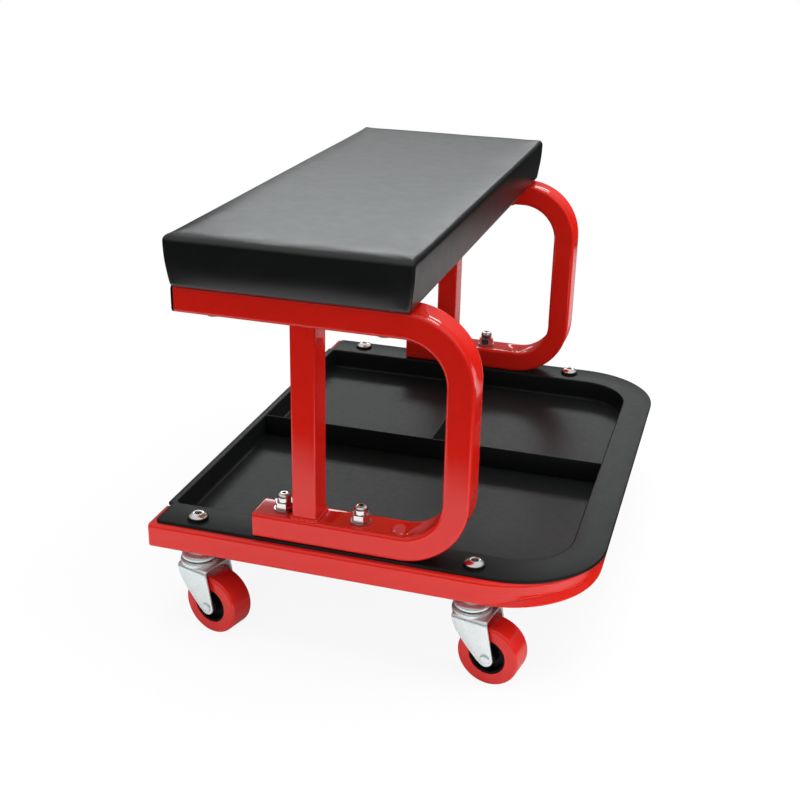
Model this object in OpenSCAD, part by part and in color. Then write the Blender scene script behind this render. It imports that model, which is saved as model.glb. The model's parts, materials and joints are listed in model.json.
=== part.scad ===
// Rolling mechanic's creeper seat: a padded seat on two C-shaped hoops, standing on a
// U-shaped base with a divided tool tray and four swivel casters.
// Millimetres, +Z up. The origin is on the floor under the middle of the base's outline.
// X runs from the open end of the base to its bent end, Y from the front hoop to the back.

/* [Base] */
// Length of the base tube, open ends to closed end
base_l = 358.5; // [350:0.5:366]
// Width of the base over its two rails
base_w = 462; // [440:1:480]
// Height of the underside of the base above the floor
base_z = 72; // [70:0.5:78]
// Outer radius of the two base bends
base_bend_r = 80; // [76:1:82]
// Width of the two rails
rail_w = 36; // [35:0.5:37]
// Width of the tube across the closed end, narrower than the rails
base_end_w = 22.5; // [22:0.5:25]

/* [Tubing] */
// Wide side of the rectangular tube of the hoops
tube_w = 30; // [28:0.5:30]
// Height of the tubes
tube_h = 21; // [20:0.5:22]
// Wall thickness of the tubes
tube_wall = 1.6; // [1.2:0.1:2]
// Outer corner radius of the tube section
tube_r = 3; // [2.5:0.1:4]

/* [Tool tray] */
// Thickness of the tray flange
flange_t = 2.5; // [2:0.1:3]
// Red margin left between the flange edge and the tube edge
flange_margin = 4.5; // [3:0.5:6]
// How far the flange stands out past the closed end
flange_overhang = 3; // [2:0.5:3.5]
// Thickness of the tray walls and floor
tray_wall = 1.5; // [1:0.1:1.8]
// Depth of the tray, flange top to floor
tray_depth = 20; // [14:0.5:21]
// Thickness of the dividers
divider_t = 2; // [1.5:0.5:4]
// X position of the short divider
short_divider_x = -8.5; // [-60:0.5:60]

/* [Hoops] */
// Overall height of a hoop
hoop_h = 201.5; // [190:0.5:215]
// X of the outer face of the upright leg
hoop_x = 82; // [78:0.5:84]
// Outer radius of the hoop bends
hoop_bend_r = 55; // [48:1:60]
// X of the open end of the top bar
top_bar_x = -151; // [-152:0.5:-140]
// X of the closed end of the lower bar
lower_bar_x = -93; // [-94:0.5:-86]
// X of the middle of the square post
post_x = -50; // [-52:0.5:-30]
// Size of the post along X
post_w = 20; // [18:0.5:22]
// Size of the post along Y
post_d = 25; // [22:0.5:26]

/* [Seat] */
// Size of the seat along X
seat_w = 193; // [186:1:196]
// Size of the seat along Y
seat_l = 468; // [458:1:471]
// Thickness of the padded seat
seat_t = 40; // [36:0.5:46]
// X of the middle of the seat
seat_x = -59; // [-62:0.5:-56]
// Edge radius of the padded seat
seat_edge_r = 10; // [8:0.5:12]
// How far the long sides of the pad pull in at the board
seat_tuck_x = 5; // [4:0.5:8]
// How far the short sides of the pad pull in at the board
seat_tuck_y = 9; // [6:0.5:11]
// Thickness of the seat board
board_t = 12; // [11:0.5:14]

/* [Casters] */
// Tyre radius
tyre_r = 25.4; // [25:0.1:26]
// Width of the tyre
tyre_w = 23.5; // [20:0.5:24]
// Distance the axle trails behind the swivel axis
caster_trail = 18.9; // [17:0.1:19.5]
// X of the casters at the open end
caster_x_left = -146.5; // [-150:0.5:-142]
// X of the casters at the bent end
caster_x_right = 85; // [82:0.5:90]
// Distance of the casters from the middle line
caster_y = 212.5; // [210:0.5:216]
// Heading of the front left caster, in degrees
yaw_front_left = -16; // [-45:1:45]
// Heading of the front right caster, in degrees
yaw_front_right = -10; // [-45:1:45]
// Heading of the back left caster, in degrees
yaw_back_left = 16; // [-45:1:45]
// Heading of the back right caster, in degrees
yaw_back_right = 10; // [-45:1:45]

/* [Hidden] */
$fn = 64;
eps = 0.01;

paint_red = [0.82, 0.10, 0.08];
satin_black = [0.16, 0.17, 0.17];
vinyl_black = [0.10, 0.10, 0.11];
zinc = [0.78, 0.80, 0.82];

base_top = base_z + tube_h;
base_x0 = -183;
base_x1 = base_x0 + base_l;
rail_y = base_w / 2 - rail_w / 2;
cap_t = 1.5;

flange_top = base_top + flange_t;
flange_x0 = base_x0 + 4.8;
flange_x1 = base_x1 + flange_overhang;
flange_y = base_w / 2 - flange_margin;
flange_left_r = 4;
rim_x0 = base_x0 + 0.8;
rim_y = base_w / 2 - rail_w + 0.5;
bin_x0 = rim_x0 + 6.4;
bin_x1 = base_x1 - base_end_w - 2.2;
bin_y = base_w / 2 - rail_w - 2.4;
bin_left_r = 4;
bin_right_r = 45;
tray_floor_z = flange_top - tray_depth;
bend_in_r = bin_right_r + tray_wall + 0.5;
strip_in_w = base_end_w - tube_r - 0.5;
strip_out_w = rail_w - strip_in_w + 0.5;
middle_x = (base_x0 + flange_x1) / 2;

hoop_bottom = flange_top;
hoop_top = hoop_bottom + hoop_h;
hoop_y = flange_y - tube_w / 2;
hoop_bend_x = hoop_x - hoop_bend_r;
post_y = hoop_y;
plug_t = 2.5;
plug_depth = 12;
plug_gap = 0.1;

bolt_r = 4;
bolt_hole_r = 4.4;
thread_gap = 0.05;
bolt_xs = [-71, -7];
washer_r = 8.2;
washer_t = 1.6;
washer_hole_r = 4.2;
nut_af = 13;
nut_hex_h = 6;
nut_h = 13;
nut_collar_r = 5.6;
nut_edge_r = 3;
nut_hole_r = 1.9;
bolt_head_h = 5.3;
bolt_end_z = hoop_bottom + tube_h + washer_t + nut_h - 4;

caster_bolt_head_r = 7.8;
caster_bolt_head_h = 3;
caster_bolt_dome_r = 24;
caster_socket_af = 5;
caster_socket_depth = 2;
caster_washer_r = 8.6;
caster_washer_t = 2.2;

kingpin_r = 6;
kingpin_flare_r = 8.5;
kingpin_flare_t = 1.5;
crown_t = 2;
crown_z = base_z - 16;
crown_top = crown_z + crown_t;
race_r = 9.5;
race_outer_r = 15.2;
race_z = crown_top + 3;
race_half_gap = 0.4;
ball_r = 1.6;
ball_count = 12;
groove_r = ball_r + 0.05;
head_r = 14.6;
head_rim_h = 3.4;
head_neck_r = 9;
run_gap = 0.06;

leg_in = 14;
leg_t = 2;
leg_out = leg_in + leg_t;
leg_x0 = -11;
leg_x1 = 18.5;
lug_r = 6.4;
axle_r = 3;
axle_head_r = 4.3;
axle_head_t = 1.5;
sleeve_r = 4.2;
hub_r = 15.2;
hub_rim_r = 13.2;
hub_rim_w = 22;
hub_web_w = 9;
hub_boss_r = 7;
hub_boss_w = 26;
tyre_shoulder_r = 2.6;

seat_z = hoop_top + 0.1;
cover_t = 1.2;
hem_w = 8;
pad_gap = 0.2;
seat_bulge_h = 16;
seat_foot_r = 6;
board_w = seat_w - 2 * (seat_tuck_x + cover_t + 2 * pad_gap);
board_l = seat_l - 2 * (seat_tuck_y + cover_t + 2 * pad_gap);
board_z = seat_z + cover_t + pad_gap;
board_r = 6;
foam_skirt_h = 6;
screw_xs = [-125, 10];
screw_y = hoop_y;
screw_r = 3;
screw_hole_r = 3.3;
screw_head_r = 5.6;
screw_head_h = 3.4;
tee_barrel_r = 3.9;
tee_barrel_h = 8.6;
tee_flange_r = 9.5;
tee_flange_t = 1.2;

// Rectangle with rounded corners, centred
module rounded_rect(w, h, r) {
    square([w - 2 * r, h], center = true);
    square([w, h - 2 * r], center = true);
    for (sx = [-1, 1], sy = [-1, 1]) {
        translate([sx * (w / 2 - r), sy * (h / 2 - r)]) circle(r = r);
    }
}

// Hollow tube section, centred
module tube_section(w, h, r) {
    difference() {
        rounded_rect(w, h, r);
        rounded_rect(w - 2 * tube_wall, h - 2 * tube_wall, r - tube_wall);
    }
}

// Plate outline from x0 to x1, with one corner radius at each end
module tray_outline(x0, x1, half_w, left_r, right_r) {
    translate([x0 + left_r, -half_w]) square([x1 - right_r - x0 - left_r, 2 * half_w]);
    translate([x0, -half_w + left_r]) square([left_r + eps, 2 * (half_w - left_r)]);
    translate([x1 - right_r - eps, -half_w + right_r]) {
        square([right_r + eps, 2 * (half_w - right_r)]);
    }
    for (s = [-1, 1]) {
        translate([x0 + left_r, s * (half_w - left_r)]) circle(r = left_r);
        translate([x1 - right_r, s * (half_w - right_r)]) circle(r = right_r, $fn = 128);
    }
}

// Straight tube along X, its wide side along Y
module tube_along_x(x0, x1) {
    translate([x0, 0, 0]) rotate([90, 0, 90]) {
        linear_extrude(x1 - x0) tube_section(tube_w, tube_h, tube_r);
    }
}

// Places its children at the four hoop bolt positions
module at_hoop_bolts(z) {
    for (x = bolt_xs, s = [-1, 1]) {
        translate([x, s * hoop_y, z]) children();
    }
}

// Places its children at the four caster positions
module at_casters(z) {
    for (x = [caster_x_left, caster_x_right], s = [-1, 1]) {
        translate([x, s * caster_y, z]) children();
    }
}

// Places its children at the four seat screw positions
module at_seat_screws(z) {
    for (x = screw_xs, s = [-1, 1]) {
        translate([x, s * screw_y, z]) children();
    }
}

// Hexagon prism measured across its flats
module hex_prism(af, h) {
    cylinder(r = af / sqrt(3), h = h, $fn = 6);
}

// Strip of the base tube section that ends in two rounded corners at X = 0, its faces drawn in
// by a wall
module tube_strip(w, wall) {
    h = tube_h - 2 * wall;
    r = tube_r - wall;
    translate([-w, -h / 2]) square([w - r, h]);
    translate([-w, -h / 2 + r]) square([w, h - 2 * r]);
    for (s = [-1, 1]) {
        translate([-r, s * (h / 2 - r)]) circle(r = r);
    }
}

// U of one strip from x0 along both rails and round the closed end. Its rounded corners face
// outwards (side 1) or inwards (side -1), along the lines at half_w and x1.
module base_u(x0, x1, half_w, bend_r, w, side, wall) {
    for (s = [0, 1]) {
        mirror([0, s, 0]) {
            translate([x0, half_w, 0]) rotate([90, 0, 90]) linear_extrude(x1 - bend_r - x0) {
                scale([side, 1]) tube_strip(w, wall);
            }
            translate([x1 - bend_r, half_w - bend_r, 0]) rotate_extrude(angle = 90, $fn = 128) {
                translate([bend_r, 0]) scale([side, 1]) tube_strip(w, wall);
            }
        }
    }
    translate([x1, half_w - bend_r, 0]) rotate([90, 0, 0]) linear_extrude(2 * (half_w - bend_r)) {
        scale([side, 1]) tube_strip(w, wall);
    }
}

// Inside or outside of the base tube. It narrows in the bends from rail_w to base_end_w. The
// strips of the inside overlap a little less than those of the outside.
module base_solid(x0, wall) {
    cut = 1.05 * wall;
    base_u(x0, base_x1 - wall, base_w / 2 - wall, base_bend_r - wall, strip_out_w - cut, 1, wall);
    base_u(x0, base_x1 - base_end_w + wall, base_w / 2 - rail_w + wall, bend_in_r + wall,
        strip_in_w - cut, -1, wall);
}

module base_frame() {
    color(paint_red) difference() {
        translate([0, 0, base_z + tube_h / 2]) difference() {
            base_solid(base_x0 + cap_t, 0);
            base_solid(base_x0, tube_wall);
        }
        at_hoop_bolts(base_z - 1) cylinder(r = bolt_hole_r, h = tube_h + 2);
        at_casters(base_z - 1) cylinder(r = bolt_hole_r, h = tube_h + 2);
    }
}

module base_end_caps() {
    color(paint_red) for (s = [-1, 1]) {
        translate([base_x0, s * rail_y, base_z + tube_h / 2]) rotate([90, 0, 90]) {
            linear_extrude(cap_t) rounded_rect(rail_w, tube_h, tube_r);
        }
    }
}

module tool_tray() {
    color(satin_black) difference() {
        union() {
            translate([0, 0, base_top]) linear_extrude(flange_t) {
                tray_outline(flange_x0, flange_x1, flange_y, flange_left_r, base_bend_r - flange_margin);
                translate([rim_x0, -rim_y]) square([flange_x0 - rim_x0 + 10, 2 * rim_y]);
            }
            translate([0, 0, tray_floor_z - tray_wall]) linear_extrude(flange_top - 1 - tray_floor_z + tray_wall) {
                tray_outline(bin_x0 - tray_wall, bin_x1 + tray_wall, bin_y + tray_wall,
                    bin_left_r + tray_wall, bin_right_r + tray_wall);
            }
        }
        translate([0, 0, tray_floor_z]) linear_extrude(tray_depth + 1) {
            tray_outline(bin_x0, bin_x1, bin_y, bin_left_r, bin_right_r);
        }
        at_hoop_bolts(base_top - 1) cylinder(r = bolt_hole_r, h = flange_t + 2);
        at_casters(base_top - 1) cylinder(r = bolt_hole_r, h = flange_t + 2);
    }
}

module tray_long_divider() {
    color(satin_black) translate([bin_x0, -divider_t / 2, tray_floor_z]) {
        cube([bin_x1 - bin_x0, divider_t, tray_depth]);
    }
}

module tray_short_divider() {
    color(satin_black) translate([short_divider_x - divider_t / 2, divider_t / 2, tray_floor_z]) {
        cube([divider_t, bin_y - divider_t / 2, tray_depth]);
    }
}

// C-shaped hoop of bent tube, standing in the plane y = 0 with its foot at z = 0
module hoop() {
    difference() {
        union() {
            translate([0, 0, hoop_h - tube_h / 2]) tube_along_x(top_bar_x, hoop_bend_x);
            translate([0, 0, tube_h / 2]) tube_along_x(lower_bar_x + cap_t, hoop_bend_x);
            translate([hoop_x - tube_h / 2, 0, hoop_bend_r]) {
                linear_extrude(hoop_h - 2 * hoop_bend_r) tube_section(tube_h, tube_w, tube_r);
            }
            translate([hoop_bend_x, 0, hoop_h - hoop_bend_r]) rotate([90, 0, 0]) {
                rotate_extrude(angle = 90, $fn = 128) translate([hoop_bend_r - tube_h / 2, 0]) {
                    tube_section(tube_h, tube_w, tube_r);
                }
            }
            translate([hoop_bend_x, 0, hoop_bend_r]) rotate([90, 90, 0]) {
                rotate_extrude(angle = 90, $fn = 128) translate([hoop_bend_r - tube_h / 2, 0]) {
                    tube_section(tube_h, tube_w, tube_r);
                }
            }
        }
        for (x = bolt_xs) {
            translate([x, 0, -1]) cylinder(r = bolt_hole_r, h = tube_h + 2);
        }
        for (x = screw_xs) {
            translate([x, 0, hoop_h - tube_h - 1]) cylinder(r = screw_hole_r, h = tube_h + 2);
        }
    }
}

module front_hoop() {
    color(paint_red) translate([0, -hoop_y, hoop_bottom]) hoop();
}

module back_hoop() {
    color(paint_red) translate([0, hoop_y, hoop_bottom]) hoop();
}

// Post between the lower bar and the top bar of one hoop
module post(y) {
    translate([post_x, y, hoop_bottom + tube_h]) {
        linear_extrude(hoop_h - 2 * tube_h) tube_section(post_w, post_d, 2);
    }
}

module front_post() {
    color(paint_red) post(-post_y);
}

module back_post() {
    color(paint_red) post(post_y);
}

// Plastic plugs in the open ends of the two top bars
module hoop_end_plugs() {
    plug_w = tube_w - 2 * tube_wall - 2 * plug_gap;
    plug_h = tube_h - 2 * tube_wall - 2 * plug_gap;
    color(vinyl_black) for (s = [-1, 1]) {
        translate([top_bar_x, s * hoop_y, hoop_top - tube_h / 2]) rotate([90, 0, 90]) {
            translate([0, 0, -plug_t]) linear_extrude(plug_t) rounded_rect(tube_w, tube_h, tube_r);
            linear_extrude(plug_depth) rounded_rect(plug_w, plug_h, tube_r - tube_wall);
        }
    }
}

// Welded plates that close the ends of the two lower bars
module hoop_foot_caps() {
    color(paint_red) for (s = [-1, 1]) {
        translate([lower_bar_x, s * hoop_y, hoop_bottom + tube_h / 2]) rotate([90, 0, 90]) {
            linear_extrude(cap_t) rounded_rect(tube_w, tube_h, tube_r);
        }
    }
}

// Bolts pushed up through the rail, the flange and the lower bar
module hoop_bolts() {
    color(zinc) at_hoop_bolts(base_z) {
        translate([0, 0, -bolt_head_h]) hex_prism(nut_af, bolt_head_h);
        cylinder(r = bolt_r, h = bolt_end_z - base_z);
    }
}

module hoop_washers() {
    color(zinc) at_hoop_bolts(hoop_bottom + tube_h) difference() {
        cylinder(r = washer_r, h = washer_t);
        translate([0, 0, -1]) cylinder(r = washer_hole_r, h = washer_t + 2);
    }
}

// Lock nuts: a hexagon with a round collar on top
module hoop_lock_nuts() {
    color(zinc) at_hoop_bolts(hoop_bottom + tube_h + washer_t) difference() {
        union() {
            hex_prism(nut_af, nut_hex_h);
            rotate_extrude() {
                square([nut_collar_r, nut_h - nut_edge_r]);
                square([nut_collar_r - nut_edge_r, nut_h]);
                translate([nut_collar_r - nut_edge_r, nut_h - nut_edge_r]) intersection() {
                    circle(r = nut_edge_r);
                    square(nut_edge_r);
                }
            }
        }
        translate([0, 0, -1]) cylinder(r = bolt_r + thread_gap, h = nut_h - nut_edge_r + 1);
        cylinder(r = nut_hole_r, h = nut_h + 1);
    }
}

// Low round-headed bolts with a hexagon socket, one down the middle of each caster
module caster_bolts() {
    color(zinc) at_casters(flange_top + caster_washer_t) difference() {
        union() {
            rotate_extrude() intersection() {
                translate([0, caster_bolt_head_h - caster_bolt_dome_r]) {
                    circle(r = caster_bolt_dome_r, $fn = 128);
                }
                square([caster_bolt_head_r, caster_bolt_head_h]);
            }
            translate([0, 0, crown_z - flange_top - caster_washer_t]) {
                cylinder(r = bolt_r, h = flange_top + caster_washer_t - crown_z + eps);
            }
        }
        translate([0, 0, caster_bolt_head_h - caster_socket_depth]) {
            hex_prism(caster_socket_af, caster_socket_depth + 1);
        }
    }
}

// Thick black washers under the caster bolt heads
module caster_bolt_washers() {
    color(vinyl_black) at_casters(flange_top) difference() {
        cylinder(r = caster_washer_r, h = caster_washer_t);
        translate([0, 0, -1]) cylinder(r = washer_hole_r, h = caster_washer_t + 2);
    }
}

// Fixed upper race of each caster, a neck under the rail that widens to a rim
module caster_heads() {
    color(zinc) at_casters(0) rotate_extrude() difference() {
        union() {
            translate([kingpin_r, race_z + race_half_gap]) square([head_r - kingpin_r, head_rim_h]);
            translate([kingpin_r, race_z]) square([head_neck_r - kingpin_r, base_z - race_z]);
        }
        translate([0, race_z - 1]) square([head_r + 1, 1 + race_half_gap]);
        translate([race_r, race_z]) circle(r = groove_r, $fn = 32);
    }
}

// Hollow king rivets that carry the forks and take the caster bolts
module caster_kingpins() {
    flare_z = crown_z - run_gap - kingpin_flare_t;
    color(zinc) at_casters(0) difference() {
        union() {
            translate([0, 0, flare_z]) cylinder(r = kingpin_flare_r, h = kingpin_flare_t);
            translate([0, 0, flare_z]) cylinder(r = kingpin_r, h = base_z - flare_z);
        }
        translate([0, 0, flare_z - 1]) cylinder(r = bolt_r + thread_gap, h = base_z - flare_z + 2);
    }
}

module seat_board() {
    color("burlywood") translate([seat_x, 0, board_z]) difference() {
        linear_extrude(board_t) rounded_rect(board_w, board_l, board_r);
        for (x = screw_xs, s = [-1, 1]) {
            translate([x - seat_x, s * screw_y, -1]) cylinder(r = tee_barrel_r + thread_gap, h = board_t + 2);
            translate([x - seat_x, s * screw_y, board_t - tee_flange_t - thread_gap]) {
                cylinder(r = tee_flange_r + thread_gap, h = tee_flange_t + 1);
            }
        }
    }
}

// Outside of the padded seat moved inwards by an inset: rounded on top, pulled in at the board
module seat_shell(inset) {
    foot_w = seat_w - 2 * (seat_tuck_x + inset);
    foot_l = seat_l - 2 * (seat_tuck_y + inset);
    hull() {
        for (sx = [-1, 1], sy = [-1, 1]) {
            translate([sx * (seat_w / 2 - seat_edge_r), sy * (seat_l / 2 - seat_edge_r), 0]) {
                translate([0, 0, seat_t - seat_edge_r]) sphere(r = seat_edge_r - inset, $fn = 32);
                translate([0, 0, seat_bulge_h]) cylinder(r = seat_edge_r - inset, h = 1, $fn = 32);
            }
        }
        translate([0, 0, inset]) linear_extrude(0.2) {
            rounded_rect(foot_w, foot_l, seat_foot_r - inset, $fn = 32);
        }
    }
}

// Foam slab whose skirt hangs over the upper edge of the board
module seat_foam() {
    color("khaki") translate([seat_x, 0, seat_z]) difference() {
        seat_shell(cover_t + pad_gap);
        linear_extrude(cover_t + 2 * pad_gap + board_t) {
            rounded_rect(board_w + 2 * pad_gap, board_l + 2 * pad_gap, board_r);
        }
        translate([0, 0, foam_skirt_h / 2 - 1]) {
            cube([seat_w + 2, seat_l + 2, foam_skirt_h + 2], center = true);
        }
    }
}

// Upholstery: a rounded skin over the foam, turned under the board as a hem
module seat_cover() {
    color(vinyl_black) translate([seat_x, 0, seat_z]) difference() {
        seat_shell(0);
        seat_shell(cover_t);
        translate([0, 0, -1]) linear_extrude(cover_t + 2) {
            rounded_rect(board_w - 2 * hem_w, board_l - 2 * hem_w, board_r);
        }
    }
}

// Pan-headed screws up through the top bars into the board
module seat_screws() {
    color(zinc) at_seat_screws(hoop_top - tube_h) {
        translate([0, 0, -screw_head_h]) cylinder(r = screw_head_r, h = screw_head_h);
        cylinder(r = screw_r, h = board_z + board_t - 1 - hoop_top + tube_h);
    }
}

module seat_tee_nuts() {
    tee_z = board_z + board_t - tee_flange_t;
    color(zinc) at_seat_screws(tee_z) difference() {
        union() {
            cylinder(r = tee_flange_r, h = tee_flange_t);
            translate([0, 0, -tee_barrel_h]) cylinder(r = tee_barrel_r, h = tee_barrel_h + eps);
        }
        translate([0, 0, -tee_barrel_h - 1]) {
            cylinder(r = screw_r + thread_gap, h = tee_barrel_h + tee_flange_t + 2);
        }
    }
}

// Places its children in a caster's own frame: swivel axis up through the origin at floor
// level, the wheel trailing along +X
module at_caster(sx, sy, yaw) {
    translate([sx < 0 ? caster_x_left : caster_x_right, sy * caster_y, 0]) {
        rotate([0, 0, yaw]) children();
    }
}

// Places its children on the axle, with the axle along Z of the child
module at_axle() {
    translate([caster_trail, 0, tyre_r]) rotate([90, 0, 0]) children();
}

module caster_balls() {
    color(zinc) for (i = [0:ball_count - 1]) {
        rotate([0, 0, i * 360 / ball_count]) {
            translate([race_r, 0, race_z]) sphere(r = ball_r, $fn = 24);
        }
    }
}

// Pressed fork: a crown with the lower race, and two tapered legs
module caster_fork() {
    race_h = race_z - race_half_gap - crown_top;
    color(zinc) difference() {
        union() {
            translate([0, 0, crown_z]) linear_extrude(crown_t) {
                circle(r = leg_out - 0.5);
                translate([leg_x0, -leg_out]) square([leg_x1 - leg_x0, 2 * leg_out]);
            }
            translate([0, 0, crown_top - eps]) cylinder(r = race_outer_r, h = race_h + eps);
            for (y = [leg_out, -leg_in]) {
                translate([0, y, 0]) rotate([90, 0, 0]) linear_extrude(leg_t) fork_leg_outline();
            }
        }
        translate([0, 0, crown_z - 1]) {
            cylinder(r = kingpin_r + run_gap, h = race_z - crown_z + 2);
        }
        rotate_extrude() translate([race_r, race_z]) circle(r = groove_r, $fn = 32);
        at_axle() cylinder(r = axle_r + thread_gap, h = 3 * leg_out, center = true);
    }
}

// Side view of a fork leg
module fork_leg_outline() {
    translate([caster_trail, tyre_r]) circle(r = lug_r);
    polygon([
        [leg_x0, crown_z + eps], [leg_x1, crown_z + eps],
        [caster_trail + lug_r, tyre_r], [caster_trail - lug_r * 0.72, tyre_r - lug_r * 0.69],
        [leg_x0 + 7, crown_z - 18], [leg_x0 + 2, crown_z - 9]
    ]);
}

// Axle rivet with a flat head at both ends
module caster_axle() {
    color(zinc) at_axle() {
        cylinder(r = axle_r, h = 2 * leg_out, center = true);
        for (s = [-1, 1]) {
            translate([0, 0, s * (leg_out + axle_head_t / 2)]) {
                cylinder(r = axle_head_r, h = axle_head_t, center = true);
            }
        }
    }
}

// Steel sleeve clamped between the legs, on which the wheel turns
module caster_sleeve() {
    color(zinc) at_axle() difference() {
        cylinder(r = sleeve_r, h = 2 * leg_in, center = true);
        cylinder(r = axle_r + thread_gap, h = 2 * leg_in + 2, center = true);
    }
}

module caster_hub() {
    color(vinyl_black) at_axle() difference() {
        union() {
            cylinder(r = hub_boss_r, h = hub_boss_w, center = true);
            cylinder(r = hub_r, h = hub_web_w, center = true);
            difference() {
                cylinder(r = hub_r, h = hub_rim_w, center = true);
                cylinder(r = hub_rim_r, h = hub_rim_w + 2, center = true);
            }
        }
        cylinder(r = sleeve_r + run_gap, h = hub_boss_w + 2, center = true);
    }
}

module caster_tyre() {
    band = tyre_r - hub_r;
    color(paint_red) at_axle() rotate_extrude($fn = 96) {
        translate([hub_r + band / 2, 0]) rounded_rect(band, tyre_w, tyre_shoulder_r);
        translate([hub_r, -tyre_w / 2]) square([band / 2, tyre_w]);
    }
}

module front_left_balls() {
    at_caster(-1, -1, yaw_front_left) caster_balls();
}

module front_left_fork() {
    at_caster(-1, -1, yaw_front_left) caster_fork();
}

module front_left_axle() {
    at_caster(-1, -1, yaw_front_left) caster_axle();
}

module front_left_sleeve() {
    at_caster(-1, -1, yaw_front_left) caster_sleeve();
}

module front_left_hub() {
    at_caster(-1, -1, yaw_front_left) caster_hub();
}

module front_left_tyre() {
    at_caster(-1, -1, yaw_front_left) caster_tyre();
}

module front_right_balls() {
    at_caster(1, -1, yaw_front_right) caster_balls();
}

module front_right_fork() {
    at_caster(1, -1, yaw_front_right) caster_fork();
}

module front_right_axle() {
    at_caster(1, -1, yaw_front_right) caster_axle();
}

module front_right_sleeve() {
    at_caster(1, -1, yaw_front_right) caster_sleeve();
}

module front_right_hub() {
    at_caster(1, -1, yaw_front_right) caster_hub();
}

module front_right_tyre() {
    at_caster(1, -1, yaw_front_right) caster_tyre();
}

module back_left_balls() {
    at_caster(-1, 1, yaw_back_left) caster_balls();
}

module back_left_fork() {
    at_caster(-1, 1, yaw_back_left) caster_fork();
}

module back_left_axle() {
    at_caster(-1, 1, yaw_back_left) caster_axle();
}

module back_left_sleeve() {
    at_caster(-1, 1, yaw_back_left) caster_sleeve();
}

module back_left_hub() {
    at_caster(-1, 1, yaw_back_left) caster_hub();
}

module back_left_tyre() {
    at_caster(-1, 1, yaw_back_left) caster_tyre();
}

module back_right_balls() {
    at_caster(1, 1, yaw_back_right) caster_balls();
}

module back_right_fork() {
    at_caster(1, 1, yaw_back_right) caster_fork();
}

module back_right_axle() {
    at_caster(1, 1, yaw_back_right) caster_axle();
}

module back_right_sleeve() {
    at_caster(1, 1, yaw_back_right) caster_sleeve();
}

module back_right_hub() {
    at_caster(1, 1, yaw_back_right) caster_hub();
}

module back_right_tyre() {
    at_caster(1, 1, yaw_back_right) caster_tyre();
}

// The base's outline is centred over the origin
translate([-middle_x, 0, 0]) {
    base_frame();
    base_end_caps();
    tool_tray();
    tray_long_divider();
    tray_short_divider();
    front_hoop();
    back_hoop();
    front_post();
    back_post();
    hoop_end_plugs();
    hoop_foot_caps();
    hoop_bolts();
    hoop_washers();
    hoop_lock_nuts();
    caster_bolts();
    caster_bolt_washers();
    caster_heads();
    caster_kingpins();
    seat_board();
    seat_foam();
    seat_cover();
    seat_screws();
    seat_tee_nuts();
    front_left_balls();
    front_left_fork();
    front_left_axle();
    front_left_sleeve();
    front_left_hub();
    front_left_tyre();
    front_right_balls();
    front_right_fork();
    front_right_axle();
    front_right_sleeve();
    front_right_hub();
    front_right_tyre();
    back_left_balls();
    back_left_fork();
    back_left_axle();
    back_left_sleeve();
    back_left_hub();
    back_left_tyre();
    back_right_balls();
    back_right_fork();
    back_right_axle();
    back_right_sleeve();
    back_right_hub();
    back_right_tyre();
}
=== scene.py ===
import bmesh
import bpy
import json
import math
import numpy as np
from mathutils import Matrix, Vector


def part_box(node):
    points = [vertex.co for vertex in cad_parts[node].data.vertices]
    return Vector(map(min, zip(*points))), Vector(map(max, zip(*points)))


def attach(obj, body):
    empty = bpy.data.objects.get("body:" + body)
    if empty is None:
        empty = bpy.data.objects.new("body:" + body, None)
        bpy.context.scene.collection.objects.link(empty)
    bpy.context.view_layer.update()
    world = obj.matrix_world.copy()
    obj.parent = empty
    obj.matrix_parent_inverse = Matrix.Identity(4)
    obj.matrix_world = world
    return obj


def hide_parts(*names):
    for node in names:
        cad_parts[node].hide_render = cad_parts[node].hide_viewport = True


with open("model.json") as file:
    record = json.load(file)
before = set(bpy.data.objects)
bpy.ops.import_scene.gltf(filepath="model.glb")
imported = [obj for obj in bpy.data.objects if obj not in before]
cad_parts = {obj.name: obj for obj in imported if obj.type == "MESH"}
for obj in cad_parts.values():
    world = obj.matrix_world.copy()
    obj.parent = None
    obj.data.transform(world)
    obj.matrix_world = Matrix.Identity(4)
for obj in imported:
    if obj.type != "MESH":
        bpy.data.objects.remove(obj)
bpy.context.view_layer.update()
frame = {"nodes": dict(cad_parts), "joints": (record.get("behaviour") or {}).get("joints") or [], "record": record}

# The visual model of the rolling creeper seat: metres, X to the closed end of the base, Y to the back, Z up.
MM = 0.001
CORNERS = ("front_left", "front_right", "back_left", "back_right")


# ---------------------------------------------------------------- measures read from the frame
def joint(name):
    return next(j for j in frame["joints"] if j["name"] == name)


base_lo, base_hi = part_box("base_frame")
tray_lo, tray_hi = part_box("tool_tray")
hoop_lo, hoop_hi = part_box("front_hoop")
seat_lo, seat_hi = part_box("seat_cover")
TUBE_W = hoop_hi.y - hoop_lo.y
TUBE_H = base_hi.z - base_lo.z
TUBE_R = 3 * MM  # outer corners of the rectangular tubes
RAIL_W = 36 * MM  # width of the base along its two rails
END_W = 22.5 * MM  # and across its bent end
PLATE_T = 1.5 * MM  # end plates
PLUG_T = 2.5 * MM  # flanges of the plastic plugs
SHARP = 38  # edges turn sharp past this many degrees


# ---------------------------------------------------------------- mesh helpers
def smooth_object(name, data, sharp=SHARP):
    """Object with smooth faces, and edges that are sharp past an angle in degrees."""
    obj = bpy.data.objects.new(name, data)
    bpy.context.scene.collection.objects.link(obj)
    data.polygons.foreach_set("use_smooth", [True] * len(data.polygons))
    data.set_sharp_from_angle(angle=math.radians(sharp))
    return obj


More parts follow.
